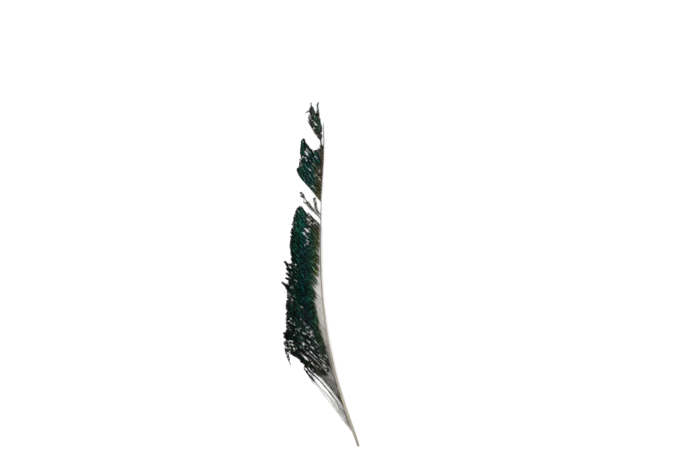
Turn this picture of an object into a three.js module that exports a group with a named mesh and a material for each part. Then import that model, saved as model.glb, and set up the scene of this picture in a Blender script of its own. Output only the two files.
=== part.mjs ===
// One peacock sword feather, lying flat, in millimetres.
// +Z is up, +Y runs from the quill's end towards the feather's tip, and the
// vane grows from the left (-X) side of the shaft only, as it does on a sword
// feather. The origin ends up at the middle of the feather's footprint.

import * as THREE from 'three';

// ---- driving dimensions ----------------------------------------------------

const SHAFT_SPAN = 327.4;      // straight distance, quill end to shaft tip
const ARCH = 4.0;              // how far the middle of the shaft lifts off the table
const ROOT_GAP = 0.3;          // clearance between the shaft and each lock of barbs
const SHAFT_SIDES = 12;        // facets round the shaft
const SHAFT_RINGS = 56;        // stations along the shaft
const GROOVE = 0.24;           // depth of the groove under the rachis, as a share of its radius
const GROOVE_FROM = 22;        // the groove starts where the vane starts
const ROOT_THICK = 0.8;        // thickness of a lock of barbs beside the shaft
const TIP_THICK = 0.45;        // and at its outer ends
const FLAT_FROM = 0.7;         // share of the barb length after which it lies on the table

// The middle line of the shaft in plan: the quill end is at 0, 0 and the tip is
// straight ahead of it, and the shaft bows to the left between them.
const SHAFT_PLAN = [
  [0.0, 0.0], [-3.7, 17.0], [-8.0, 35.6], [-11.9, 54.1], [-15.1, 72.5],
  [-17.4, 90.9], [-19.1, 111.2], [-19.9, 133.4], [-19.7, 157.5], [-18.2, 183.5],
  [-15.5, 211.4], [-11.9, 239.1], [-10.6, 251.0], [-8.3, 264.9], [-4.4, 288.6],
  [-1.8, 308.5], [0.0, 327.4],
];

// Radius of the shaft against distance along Y.
const SHAFT_RADIUS = [
  [0, 1.12], [4, 1.24], [14, 1.33], [30, 1.34], [55, 1.22], [90, 1.04],
  [130, 0.86], [170, 0.70], [210, 0.56], [250, 0.46], [290, 0.42], [318, 0.36], [327.4, 0.30],
];

// Profile of the quill's closed, blunt end: [radius share, distance along Y].
// The small pit in its middle is the scar where the feather grew.
const QUILL_END = [[0.0, 1.1], [0.22, 0.9], [0.36, 0.3], [0.5, 0.0], [0.78, 0.12], [0.93, 0.7]];

// Each lock of barbs is a fan between guide barbs, listed from the quill
// upwards. A guide is [where it leaves the shaft along Y, then points in plan
// out to the barb's end].
const LOCKS = {
  basal_barbs: {
    grid: [7, 14],
    guides: [
      [15.4, [-10.5, 24.3], [-19.5, 38.3], [-32.4, 58.8], [-40.1, 71.2], [-44.7, 80.2]],
      [23.2, [-14.0, 37.7], [-23.2, 55.3], [-34.6, 71.1], [-45.9, 84.6]],
      [33.4, [-15.4, 46.6], [-25.1, 61.5], [-36.6, 75.8], [-45.6, 86.1]],
    ],
  },
  lower_lock: {
    grid: [10, 14],
    guides: [
      [34.4, [-17.6, 54.7], [-30.1, 70.6], [-40.8, 83.8], [-52.3, 93.6]],
      [43.8, [-21.0, 62.1], [-33.5, 77.0], [-44.3, 88.7], [-56.7, 99.6]],
      [52.0, [-22.8, 68.3], [-34.5, 81.7], [-45.7, 93.9], [-61.4, 104.6]],
      [61.2, [-23.9, 72.9], [-34.3, 84.0], [-45.4, 96.9], [-62.6, 112.4]],
    ],
  },
  main_vane: {
    grid: [40, 12],
    guides: [
      [62.2, [-23.6, 75.2], [-34.8, 87.8], [-44.6, 98.9], [-62.6, 116.4]],
      [75.6, [-26.9, 91.4], [-39.3, 107.3], [-59.2, 123.0]],
      [88.8, [-27.6, 103.0], [-40.1, 118.0], [-58.5, 134.0]],
      [102.1, [-28.2, 116.2], [-39.7, 131.0], [-56.8, 147.4]],
      [117.2, [-28.6, 131.3], [-39.2, 145.0], [-53.7, 160.2]],
      [131.4, [-29.6, 145.5], [-39.3, 158.6], [-49.8, 172.8]],
      [149.5, [-29.8, 162.6], [-38.6, 174.6], [-47.2, 187.6]],
      [169.5, [-28.7, 182.1], [-37.5, 193.6], [-46.5, 205.6]],
      [187.5, [-27.3, 199.6], [-35.7, 210.5], [-44.2, 220.5]],
      [206.4, [-24.8, 217.9], [-32.3, 227.8], [-38.8, 238.0]],
      [222.3, [-19.9, 228.1], [-23.5, 232.3], [-30.0, 240.3], [-34.3, 247.1]],
    ],
  },
  gap_strand_long: {
    grid: [1, 10],
    guides: [
      [229.9, [-18.0, 236.6], [-21.2, 240.7], [-26.7, 247.2], [-31.2, 258.2]],
      [231.5, [-17.9, 238.3], [-20.8, 243.4], [-25.3, 250.5], [-29.8, 260.2]],
    ],
  },
  gap_strand_short: {
    grid: [1, 7],
    guides: [
      [233.6, [-16.6, 238.3], [-17.7, 244.8], [-18.6, 252.0]],
      [235.0, [-15.8, 239.6], [-16.1, 245.2], [-17.0, 252.4]],
    ],
  },
  upper_lock: {
    grid: [12, 8],
    guides: [
      [247.5, [-20.6, 262.2], [-30.1, 276.3], [-31.6, 281.0]],
      [255.0, [-18.8, 269.6], [-24.9, 278.3], [-29.0, 286.7]],
      [261.9, [-17.4, 277.5], [-23.0, 286.6], [-27.0, 296.1]],
      [268.3, [-15.7, 283.8], [-21.1, 294.4], [-24.2, 303.8], [-22.7, 312.2]],
      [272.8, [-13.7, 288.6], [-17.7, 298.1], [-19.8, 307.4]],
      [277.2, [-10.5, 290.3], [-15.0, 300.0]],
      [280.7, [-7.4, 291.0], [-9.5, 299.7]],
    ],
  },
  tip_lock: {
    grid: [10, 12],
    guides: [
      [283.7, [-5.6, 296.8], [-6.4, 308.4], [-10.5, 318.4], [-15.7, 330.6]],
      [287.1, [-5.2, 298.8], [-5.8, 309.9], [-9.8, 323.4], [-13.5, 338.9]],
      [290.6, [-4.8, 300.7], [-5.2, 311.8], [-8.1, 327.2], [-11.1, 347.7]],
      [293.6, [-4.3, 302.7], [-4.6, 313.8], [-6.5, 328.1], [-7.1, 336.2]],
      [296.0, [-3.9, 304.7], [-3.9, 315.7], [-3.7, 329.8], [-3.1, 345.8]],
      [298.5, [-3.3, 306.6], [-3.4, 315.7], [-2.9, 323.7], [-2.7, 329.7]],
    ],
  },
};

// ---- looks -----------------------------------------------------------------

const keratin = () => new THREE.MeshStandardMaterial({ color: 0xb9ad92, roughness: 0.45, metalness: 0.0 });
const greenVane = () => new THREE.MeshStandardMaterial({ color: 0x0f3a34, roughness: 0.5, metalness: 0.25 });
const darkBarbs = () => new THREE.MeshStandardMaterial({ color: 0x2a2f28, roughness: 0.65, metalness: 0.1 });
const greyBarbs = () => new THREE.MeshStandardMaterial({ color: 0x6d685c, roughness: 0.7, metalness: 0.0 });

// ---- helpers ---------------------------------------------------------------

const mix = (a, b, t) => a + (b - a) * t;
const clamp01 = (t) => Math.min(1, Math.max(0, t));
const smooth = (t) => { const c = clamp01(t); return c * c * (3 - 2 * c); };

// Smooth curve through [x, y] pairs, read as x at a given y.
const planCurve = new THREE.CatmullRomCurve3(
  SHAFT_PLAN.map(([x, y]) => new THREE.Vector3(x, y, 0)), false, 'centripetal');
const planPoints = planCurve.getPoints(400);

function shaftX(y) {
  if (y <= planPoints[0].y) return planPoints[0].x;
  for (let i = 1; i < planPoints.length; i += 1) {
    const a = planPoints[i - 1];
    const b = planPoints[i];
    if (y <= b.y) return mix(a.x, b.x, (y - a.y) / (b.y - a.y));
  }
  return planPoints[planPoints.length - 1].x;
}

function shaftRadius(y) {
  const table = SHAFT_RADIUS;
  if (y <= table[0][0]) return table[0][1];
  for (let i = 1; i < table.length; i += 1) {
    if (y <= table[i][0]) {
      const [y0, r0] = table[i - 1];
      const [y1, r1] = table[i];
      return mix(r0, r1, (y - y0) / (y1 - y0));
    }
  }
  return table[table.length - 1][1];
}

// Height of the shaft's middle line: it touches the table at both ends.
const shaftZ = (y) => shaftRadius(y) + ARCH * Math.sin(Math.PI * clamp01(y / SHAFT_SPAN));

// ---- the shaft: calamus and rachis, grown as one ---------------------------

function makeShaft() {
  const profile = [];
  for (const [share, y] of QUILL_END) profile.push(new THREE.Vector2(share * shaftRadius(0), y));
  for (let i = 1; i <= SHAFT_RINGS; i += 1) {
    const y = mix(1.6, SHAFT_SPAN - 0.25, Math.pow(i / SHAFT_RINGS, 1.04));
    profile.push(new THREE.Vector2(shaftRadius(y), y));
  }
  profile.push(new THREE.Vector2(0, SHAFT_SPAN));
  profile[0].x = 0;
  const geometry = new THREE.LatheGeometry(profile, SHAFT_SIDES);
  const p = geometry.attributes.position;
  for (let i = 0; i < p.count; i += 1) {
    const y = p.getY(i);
    let side = p.getX(i);
    let up = p.getZ(i);
    const r = Math.hypot(side, up);
    if (r > 1e-6 && y > 1.6) {
      // flatter flanks and a groove along the underside of the rachis
      const rachis = smooth((y - GROOVE_FROM) / 20) * (1 - smooth((y - 285) / 30));
      const down = Math.max(0, -up / r);
      const dip = 1 - GROOVE * rachis * Math.pow(down, 10);
      side *= 1 + 0.05 * rachis * Math.abs(side / r);
      up *= dip;
    }
    const ahead = 0.5;
    const heading = Math.atan2(shaftX(y + ahead) - shaftX(y - ahead), 2 * ahead);
    p.setXYZ(
      i,
      shaftX(y) + side * Math.cos(heading),
      y - side * Math.sin(heading),
      shaftZ(y) + up,
    );
  }
  geometry.computeVertexNormals();
  return geometry;
}

// ---- locks of barbs --------------------------------------------------------

function guideCurve([rootY, ...plan]) {
  const root = new THREE.Vector3(shaftX(rootY) - shaftRadius(rootY) * 1.05 - ROOT_GAP, rootY, 0);
  const points = [root, ...plan.map(([x, y]) => new THREE.Vector3(x, y, 0))];
  return new THREE.CatmullRomCurve3(points, false, 'centripetal');
}

// A thin closed sheet: a box whose length runs along the shaft, whose width
// runs out along the barbs and whose height is the barbs' thickness.
function makeLock({ grid: [along, across], guides }) {
  const curves = guides.map(guideCurve);
  const roots = guides.map((g) => g[0]);
  const geometry = new THREE.BoxGeometry(1, 1, 1, along, across, 1);
  const p = geometry.attributes.position;
  for (let i = 0; i < p.count; i += 1) {
    const u = p.getX(i) + 0.5;
    const v = p.getY(i) + 0.5;
    const w = p.getZ(i) + 0.5;
    const rootY = mix(roots[0], roots[roots.length - 1], u);
    let k = 0;
    while (k < roots.length - 2 && rootY > roots[k + 1]) k += 1;
    const t = clamp01((rootY - roots[k]) / (roots[k + 1] - roots[k]));
    const a = curves[k].getPointAt(v);
    const b = curves[k + 1].getPointAt(v);
    // beside the shaft the sheet's edge follows the bow, not the straight chord
    const edge = shaftX(rootY) - shaftRadius(rootY) * 1.05 - ROOT_GAP;
    const chord = mix(a.x, b.x, t);
    const x = v < 1e-6 ? Math.min(edge, chord) : chord;
    const y = mix(a.y, b.y, t);
    const thick = mix(ROOT_THICK, TIP_THICK, v) * Math.min(1, 0.35 + shaftRadius(rootY));
    const rootBottom = shaftZ(rootY) + 0.3 * shaftRadius(rootY) - thick / 2;
    const bottom = rootBottom * (1 - smooth(v / FLAT_FROM));
    p.setXYZ(i, x, y, bottom + w * thick);
  }
  geometry.computeVertexNormals();
  return geometry;
}

// ---- assembly --------------------------------------------------------------

const feather = new THREE.Group();

function add(name, geometry, material) {
  const mesh = new THREE.Mesh(geometry, material);
  mesh.name = name;
  feather.add(mesh);
}

add('shaft', makeShaft(), keratin());
add('basal_barbs', makeLock(LOCKS.basal_barbs), greyBarbs());
add('lower_lock', makeLock(LOCKS.lower_lock), darkBarbs());
add('main_vane', makeLock(LOCKS.main_vane), greenVane());
add('gap_strand_long', makeLock(LOCKS.gap_strand_long), greyBarbs());
add('gap_strand_short', makeLock(LOCKS.gap_strand_short), greyBarbs());
add('upper_lock', makeLock(LOCKS.upper_lock), greenVane());
add('tip_lock', makeLock(LOCKS.tip_lock), darkBarbs());

// The origin goes to the middle of the footprint, at table height.
feather.updateMatrixWorld(true);
const box = new THREE.Box3().setFromObject(feather, true);
feather.position.set(-(box.min.x + box.max.x) / 2, -(box.min.y + box.max.y) / 2, -box.min.z);

export default feather;
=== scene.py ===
"""One peacock sword feather lying on a pale table, every barb and barbule a mesh of its own."""

import math

import bpy
import numpy as np
from mathutils import Matrix, Vector


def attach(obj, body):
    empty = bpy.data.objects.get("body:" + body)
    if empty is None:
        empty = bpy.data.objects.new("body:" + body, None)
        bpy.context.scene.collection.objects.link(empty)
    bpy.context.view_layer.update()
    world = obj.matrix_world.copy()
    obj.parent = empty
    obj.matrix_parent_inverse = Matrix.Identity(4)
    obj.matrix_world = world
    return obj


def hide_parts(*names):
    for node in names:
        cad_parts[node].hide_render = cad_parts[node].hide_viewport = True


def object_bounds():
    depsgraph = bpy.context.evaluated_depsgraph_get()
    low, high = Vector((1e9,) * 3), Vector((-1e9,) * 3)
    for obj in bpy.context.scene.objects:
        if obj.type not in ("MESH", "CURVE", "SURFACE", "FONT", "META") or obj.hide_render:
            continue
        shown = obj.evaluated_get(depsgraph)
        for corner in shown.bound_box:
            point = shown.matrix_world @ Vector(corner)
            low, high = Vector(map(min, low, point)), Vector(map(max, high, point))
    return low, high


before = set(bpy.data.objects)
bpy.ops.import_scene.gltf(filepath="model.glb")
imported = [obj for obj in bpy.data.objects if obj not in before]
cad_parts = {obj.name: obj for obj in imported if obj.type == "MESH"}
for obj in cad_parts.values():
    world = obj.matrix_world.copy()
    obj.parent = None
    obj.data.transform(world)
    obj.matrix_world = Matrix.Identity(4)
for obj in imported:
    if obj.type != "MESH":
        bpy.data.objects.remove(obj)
cad_low, cad_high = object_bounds()

MM = 0.001

# ---------------------------------------------------------------------------
# The feather's plan, in millimetres from the quill's end, as the CAD has it.
# SHIFT takes it to the frame, whose origin is the middle of the footprint.

SHIFT = np.array([cad_high[0] * 1000 - 0.866, -172.861, 0.0])
SPAN = 327.4
ARCH = 4.0

SHAFT_PLAN = np.array([
    [0.0, 0.0], [-3.7, 17.0], [-8.0, 35.6], [-11.9, 54.1], [-15.1, 72.5],
    [-17.4, 90.9], [-19.1, 111.2], [-19.9, 133.4], [-19.7, 157.5], [-18.2, 183.5],
    [-15.5, 211.4], [-11.9, 239.1], [-10.6, 251.0], [-8.3, 264.9], [-4.4, 288.6],
    [-1.8, 308.5], [0.0, 327.4]])
SHAFT_RADIUS = np.array([
    [0, 1.12], [4, 1.24], [14, 1.33], [30, 1.34], [55, 1.22], [90, 1.04],
    [130, 0.86], [170, 0.70], [210, 0.56], [250, 0.46], [290, 0.42], [318, 0.36], [327.4, 0.30]])

GUIDES = {
    "basal_barbs": [
        (15.4, (-10.5, 24.3), (-19.5, 38.3), (-32.4, 58.8), (-40.1, 71.2), (-44.7, 80.2)),
        (23.2, (-14.0, 37.7), (-23.2, 55.3), (-34.6, 71.1), (-45.9, 84.6)),
        (33.4, (-15.4, 46.6), (-25.1, 61.5), (-36.6, 75.8), (-45.6, 86.1))],
    "lower_lock": [
        (34.4, (-17.6, 54.7), (-30.1, 70.6), (-40.8, 83.8), (-52.3, 93.6)),
        (43.8, (-21.0, 62.1), (-33.5, 77.0), (-44.3, 88.7), (-56.7, 99.6)),
        (52.0, (-22.8, 68.3), (-34.5, 81.7), (-45.7, 93.9), (-61.4, 104.6)),
        (61.2, (-23.9, 72.9), (-34.3, 84.0), (-45.4, 96.9), (-62.6, 112.4))],
    "main_vane": [
        (62.2, (-23.6, 75.2), (-34.8, 87.8), (-44.6, 98.9), (-62.6, 116.4)),
        (75.6, (-26.9, 91.4), (-39.3, 107.3), (-59.2, 123.0)),
        (88.8, (-27.6, 103.0), (-40.1, 118.0), (-58.5, 134.0)),
        (102.1, (-28.2, 116.2), (-39.7, 131.0), (-56.8, 147.4)),
        (117.2, (-28.6, 131.3), (-39.2, 145.0), (-53.7, 160.2)),
        (131.4, (-29.6, 145.5), (-39.3, 158.6), (-49.8, 172.8)),
        (149.5, (-29.8, 162.6), (-38.6, 174.6), (-47.2, 187.6)),
        (169.5, (-28.7, 182.1), (-37.5, 193.6), (-46.5, 205.6)),
        (187.5, (-27.3, 199.6), (-35.7, 210.5), (-44.2, 220.5)),
        (206.4, (-24.8, 217.9), (-32.3, 227.8), (-38.8, 238.0)),
        (222.3, (-19.9, 228.1), (-23.5, 232.3), (-30.0, 240.3), (-34.3, 247.1))],
    "gap_strand_long": [
        (229.9, (-18.0, 236.6), (-21.2, 240.7), (-26.7, 247.2), (-31.2, 258.2)),
        (231.5, (-17.9, 238.3), (-20.8, 243.4), (-25.3, 250.5), (-29.8, 260.2))],
    "gap_strand_short": [
        (233.6, (-16.6, 238.3), (-17.7, 244.8), (-18.6, 252.0)),
        (235.0, (-15.8, 239.6), (-16.1, 245.2), (-17.0, 252.4))],
    "upper_lock": [
        (247.5, (-20.6, 262.2), (-30.1, 276.3), (-31.6, 281.0)),
        (255.0, (-18.8, 269.6), (-24.9, 278.3), (-29.0, 286.7)),
        (261.9, (-17.4, 277.5), (-23.0, 286.6), (-27.0, 296.1)),
        (268.3, (-15.7, 283.8), (-21.1, 294.4), (-24.2, 303.8), (-22.7, 312.2)),
        (272.8, (-13.7, 288.6), (-17.7, 298.1), (-19.8, 307.4)),
        (277.2, (-10.5, 290.3), (-15.0, 300.0)),
        (280.7, (-7.4, 291.0), (-9.5, 299.7))],
    "tip_lock": [
        (283.7, (-5.6, 296.8), (-6.4, 308.4), (-10.5, 318.4), (-15.7, 330.6)),
        (287.1, (-5.2, 298.8), (-5.8, 309.9), (-9.8, 323.4), (-13.5, 338.9)),
        (290.6, (-4.8, 300.7), (-5.2, 311.8), (-8.1, 327.2), (-11.1, 347.7)),
        (293.6, (-4.3, 302.7), (-4.6, 313.8), (-6.5, 328.1), (-7.1, 336.2)),
        (296.0, (-3.9, 304.7), (-3.9, 315.7), (-4.0, 328.0), (-4.4, 338.6)),
        (298.5, (-3.3, 306.6), (-3.4, 315.7), (-2.9, 323.7), (-2.7, 329.7))],
}

# Barbs that leave their lock: where each one roots, the points it passes,
# how much of it is bare, the length of its barbules and how brown it is.
STRAYS = {
    "basal_barbs": [
        (14.4, ((-11.0, 24.3), (-19.5, 38.6), (-28.1, 52.3), (-35.9, 63.7), (-41.6, 73.8), (-46.1, 85.4)), 58, 0.5, 0.9),
        (17.0, ((-11.0, 28.3), (-16.3, 40.5), (-24.9, 54.0), (-37.1, 71.4), (-44.6, 85.8)), 60, 0.5, 0.9),
        (19.6, ((-11.9, 31.6), (-17.4, 42.7), (-26.9, 58.7), (-38.6, 76.1), (-42.9, 83.1)), 60, 0.6, 0.9)],
    "lower_lock": [
        (38.0, ((-14.1, 47.2), (-21.3, 59.1), (-31.9, 78.4), (-43.1, 95.7), (-51.3, 106.6), (-57.0, 110.6), (-60.5, 110.8),
                (-62.2, 107.8), (-62.6, 102.4), (-61.6, 96.7), (-60.0, 91.9), (-58.8, 88.0)), 50, 0.8, 0.6),
        (42.0, ((-14.6, 49.0), (-20.7, 59.9), (-31.4, 78.2), (-42.7, 94.6), (-50.8, 103.2), (-55.6, 105.7), (-58.6, 103.8),
                (-59.7, 98.9), (-59.3, 92.9)), 48, 0.9, 0.6),
        (46.0, ((-15.5, 52.2), (-21.5, 62.0), (-31.4, 79.8), (-42.4, 96.6), (-50.7, 104.4), (-56.3, 107.0), (-60.2, 105.0),
                (-61.3, 100.6), (-60.8, 96.0)), 44, 0.9, 0.7),
        (60.6, ((-23.8, 73.4), (-29.0, 79.0), (-34.7, 83.9), (-41.1, 89.9), (-46.2, 96.7), (-50.5, 102.5), (-56.5, 107.9), (-60.8, 112.2)),
         16, 1.3, 0.45)],
    "main_vane": [
        (61.2, ((-23.8, 73.9), (-28.8, 79.4), (-34.3, 84.6), (-37.9, 87.7), (-39.6, 90.3), (-41.2, 93.9), (-44.6, 99.2), (-50.0, 103.4),
                (-56.0, 108.6)), 15, 1.3, 0.4),
        (61.5, ((-23.8, 74.2), (-28.9, 80.3), (-33.7, 86.4), (-38.9, 93.8), (-44.3, 99.6), (-50.5, 103.6), (-56.5, 109.2), (-60.6, 113.4)),
         15, 1.3, 0.4),
        (61.9, ((-23.7, 74.7), (-28.9, 81.2), (-34.1, 87.6), (-39.4, 94.5), (-44.5, 99.9), (-50.5, 104.8), (-55.5, 109.4)), 14, 1.3, 0.3),
        (62.5, ((-23.6, 75.3), (-29.0, 81.8), (-34.6, 88.2), (-40.0, 94.6), (-46.0, 100.9), (-53.0, 107.4), (-61.8, 115.6)), 13, 1.3, 0.2),
        (112.0, ((-28.4, 125.6), (-39.4, 139.6), (-49.0, 152.0), (-54.4, 159.4), (-58.6, 164.3)), 14, 0.45, 0.9)],
    "upper_lock": [
        (281.5, ((-7.0, 291.0), (-8.7, 300.3)), 0.5, 1.6, 0.5), (282.3, ((-6.5, 291.5), (-7.7, 301.2)), 0.5, 1.6, 0.7),
        (283.0, ((-6.1, 292.0), (-6.8, 299.6)), 0.5, 1.4, 0.8)],
    "gap_strand_short": [
        (228.8, ((-16.9, 240.7), (-20.0, 248.6), (-22.3, 255.4), (-23.4, 260.0)), 30, 0.3, 1.0)],
    "tip_lock": [
        (288.4, ((-5.1, 299.0), (-5.9, 309.9), (-8.2, 319.1), (-10.3, 330.4), (-11.4, 336.6), (-13.0, 338.9), (-16.2, 337.7), (-17.8, 336.8)), 40, 2.6, 0.8),
        (296.0, ((-3.9, 304.7), (-4.1, 315.7), (-4.6, 326.0), (-4.9, 334.9), (-4.7, 340.9), (-4.3, 344.4), (-2.4, 347.2)), 33, 2.9, 0.5),
        (296.4, ((-3.9, 304.7), (-4.1, 315.7), (-4.4, 326.0), (-4.3, 334.9), (-4.2, 341.2), (-3.6, 344.8)), 31, 2.2, 0.5)],
}

# Bare length at the foot of each barb, against where it leaves the shaft.
BARE = np.array([
    [15, 62], [23, 54], [31, 48], [36.6, 44], [43.8, 37], [52, 29], [58, 23],
    [64, 12], [75.6, 4.5], [88.8, 3.0], [98, 4.5], [106, 10.0], [113, 12.2], [120, 12.8], [128, 13.0],
    [136, 13.3], [144, 12.3], [152, 10.4], [160, 7.0], [168.6, 3.6], [177.5, 2.0], [185.5, 1.2], [192, 0.8], [206, 0.5], [330, 0.5]])

# How loosely the barbs hold together, against where they leave the shaft.
LOOSE = np.array([
    [15, 1.0], [34, 0.80], [57, 0.60], [61, 0.22], [64, 0.26], [75, 0.30], [88, 0.26], [104, 0.18], [122, 0.12], [145, 0.08], [210, 0.08],
    [222, 0.20], [247, 0.12], [268, 0.16], [282, 0.30], [300, 0.40]])

# How pale the bare barbs are, against where they leave the shaft.
PALE = np.array([[15, 0.5], [26, 0.22], [34, 0.12], [60, 0.12], [84, 0.16], [98, 0.36], [112, 0.85], [180, 0.75], [225, 0.2], [300, 0.08]])

# Tufts that stand out of the vane's outer edge: where each ends, how hard it
# pulls and how many barbs wide it is.
TUFTS = [
    (-54.3, 191.9, 1.0, 4.6), (-53.0, 189.0, 0.8, 1.6), (-53.6, 185.6, 0.9, 2.2), (-54.4, 181.0, 0.9, 2.6), (-55.0, 175.9, 0.95, 3.2),
    (-59.0, 171.8, 1.0, 4.0), (-56.6, 168.6, 0.8, 1.6), (-55.1, 165.2, 0.95, 2.6), (-57.4, 141.5, 0.5, 1.5),
    (-62.6, 120.9, 1.0, 2.4),
]

# Slits and holes in the vane: middle, direction as an angle from +Y to the
# left, half length and half width.
SLITS = [
    (-28.1, 220.3, 44, 3.5, 0.8), (-31.6, 218.1, 42, 2.0, 0.6), (-29.2, 210.3, 39, 3.0, 0.5),
    (-49.0, 185.6, 38, 2.6, 0.6), (-48.0, 180.2, 38, 1.6, 0.5), (-52.9, 172.2, 40, 2.0, 0.5), (-30.6, 216.2, 40, 2.2, 0.6),
    (-31.7, 206.1, 39, 1.5, 0.4), (-43.2, 187.7, 24, 1.4, 0.6), (-44.0, 180.2, 24, 1.2, 0.4),
    (-47.5, 156.0, 29, 1.6, 0.5), (-50.4, 153.0, 29, 1.1, 0.5), (-41.7, 145.1, 39, 1.4, 0.4),
    (-53.6, 134.4, 24, 1.3, 0.5), (-56.1, 132.3, 44, 1.4, 0.4), (-53.4, 129.8, 54, 1.2, 0.4),
    (-50.9, 128.2, 39, 1.0, 0.4), (-56.4, 125.3, 24, 2.2, 0.4), (-44.1, 132.7, 39, 1.2, 0.4),
    (-40.5, 128.0, 36, 3.2, 0.35), (-46.8, 121.2, 39, 2.0, 0.35), (-42.3, 118.7, 39, 2.2, 0.4),
    (-47.3, 123.7, 39, 1.2, 0.3), (-44.2, 113.9, 44, 3.4, 0.4), (-34.4, 116.6, 37, 4.0, 0.4),
    (-38.0, 109.2, 39, 1.9, 0.6), (-35.2, 103.2, 54, 2.2, 0.35), (-30.8, 104.0, 24, 1.8, 0.5),
    (-45.8, 109.4, 44, 2.0, 0.4), (-36.9, 99.0, 39, 2.0, 0.5), (-33.9, 93.4, 44, 1.4, 0.5),
    (-46.3, 97.5, 24, 2.4, 0.6), (-53.7, 103.8, 34, 1.8, 0.8), (-58.5, 110.8, 14, 1.4, 0.5),
    (-42.5, 93.1, 41, 2.8, 1.8), (-36.8, 86.8, 42, 2.4, 1.2), (-33.1, 82.9, 39, 2.6, 0.7),
    (-43.7, 82.6, 39, 2.4, 0.5), (-44.6, 104.6, 39, 1.2, 0.5), (-31.8, 109.5, 14, 1.8, 0.5),
    (-21.2, 297.2, 35, 3.2, 0.24), (-18.1, 299.0, 35, 5.0, 0.38), (-9.5, 278.1, 14, 2.0, 0.95),
    (-14.1, 285.2, 38, 2.8, 0.5), (-12.8, 274.2, 34, 1.3, 0.8), (-10.1, 270.1, 24, 1.2, 0.95), (-18.7, 280.1, 34, 1.9, 0.6),
    (-17.2, 263.4, 36, 3.0, 0.55), (-26.8, 293.0, 14, 1.4, 0.3), (-27.3, 288.1, 24, 1.2, 0.35),
    (-27.9, 283.1, 34, 1.5, 0.35), (-15.9, 303.9, 34, 1.0, 0.4),
]

# Worn places: middle, reach along X and Y, and the share of the vane open there.
WORN = {
    "main_vane": [
        (-27.3, 217.5, 4.0, 9.0, 0.10), (-27.5, 207.0, 3.2, 6.0, 0.08), (-37.0, 106.0, 14.0, 20.0, 0.05),
        (-33.0, 96.0, 10.0, 14.0, 0.08), (-25.0, 88.0, 7.0, 22.0, 0.10), (-50.0, 120.0, 10.0, 18.0, 0.03),
        (-57.0, 105.0, 7.0, 8.0, 0.10), (-23.0, 229.0, 6.0, 5.5, 0.07)],
    "lower_lock": [(-57.5, 104.0, 7.0, 8.0, 0.12), (-36.0, 84.0, 9.0, 9.0, 0.08), (-30.0, 72.0, 7.0, 8.0, 0.16)],
    "upper_lock": [(-28.5, 292.0, 4.0, 14.0, 0.05), (-12.0, 273.0, 5.0, 8.0, 0.05), (-18.0, 294.0, 8.0, 9.0, 0.04)],
    "tip_lock": [(-4.9, 306.8, 3.2, 4.6, 0.85), (-11.0, 328.0, 8.0, 13.0, 0.07)],
}


class Spline:
    """Natural cubic spline through the rows of y at x."""

    def __init__(self, x, y):
        self.x = np.asarray(x, float)
        y = np.asarray(y, float)
        n = len(self.x)
        self.tail = y.shape[1:]
        self.y = y.reshape(n, -1)
        self.h = h = np.diff(self.x)
        a = np.eye(n)
        r = np.zeros_like(self.y)
        for i in range(1, n - 1):
            a[i, i - 1:i + 2] = h[i - 1], 2 * (h[i - 1] + h[i]), h[i]
            r[i] = 6 * ((self.y[i + 1] - self.y[i]) / h[i] - (self.y[i] - self.y[i - 1]) / h[i - 1])
        self.m = np.linalg.solve(a, r)

    def __call__(self, t):
        t = np.asarray(t, float)
        flat = t.ravel()
        k = np.clip(np.searchsorted(self.x, flat, side="right") - 1, 0, len(self.x) - 2)
        h = self.h[k][:, None]
        a = (self.x[k + 1] - flat)[:, None] / h
        b = 1 - a
        out = (a * self.y[k] + b * self.y[k + 1]
               + ((a ** 3 - a) * self.m[k] + (b ** 3 - b) * self.m[k + 1]) * h * h / 6)
        return out.reshape(t.shape + self.tail)


def smooth(t):
    t = np.clip(t, 0, 1)
    return t * t * (3 - 2 * t)


plan_x = Spline(SHAFT_PLAN[:, 1], SHAFT_PLAN[:, 0])


def shaft_r(y):
    return np.interp(y, SHAFT_RADIUS[:, 0], SHAFT_RADIUS[:, 1])


def shaft_z(y):
    return shaft_r(y) + ARCH * np.sin(np.pi * np.clip(np.asarray(y, float) / SPAN, 0, 1))


def wave(x, seed, rows):
    """Smooth random value in -1..1 at x, with about one change per unit."""
    r = np.random.default_rng(seed)
    table = r.uniform(-1, 1, (rows,))
    k = np.floor(x).astype(int)
    f = smooth(x - k)
    return table[k % rows] * (1 - f) + table[(k + 1) % rows] * f


def patches(u, v, seed):
    """Random value in 0..1 that drifts over the plane of u and v, about one change per unit, evenly spread."""
    table = np.random.default_rng(seed).random((211, 197))
    i, j = np.floor(u).astype(int), np.floor(v).astype(int)
    f, g = smooth(u - i), smooth(v - j)
    val = ((table[i % 211, j % 197] * (1 - f) + table[(i + 1) % 211, j % 197] * f) * (1 - g)
           + (table[i % 211, (j + 1) % 197] * (1 - f) + table[(i + 1) % 211, (j + 1) % 197] * f) * g)
    return (np.argsort(np.argsort(val.ravel())).reshape(val.shape) + 0.5) / val.size


def grain(P, turn, length, breadth, seed):
    """Like patches, over the feather's plan, drawn out along a direction given as an angle from +Y to the left."""
    a = math.radians(turn)
    x, y = P[:, 0], P[:, 1]
    return patches((-math.sin(a) * x + math.cos(a) * y) / length, (math.cos(a) * x + math.sin(a) * y) / breadth, seed)


def cover(P, spots):
    """The share open at the points P, from the worn places given."""
    out = np.zeros(len(P))
    for x, y, rx, ry, share in spots:
        d = np.hypot((P[:, 0] - x) / rx, (P[:, 1] - y) / ry)
        out = np.maximum(out, share * smooth((1.15 - d) / 0.5))
    return out


# ---------------------------------------------------------------------------
# Meshes

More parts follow.
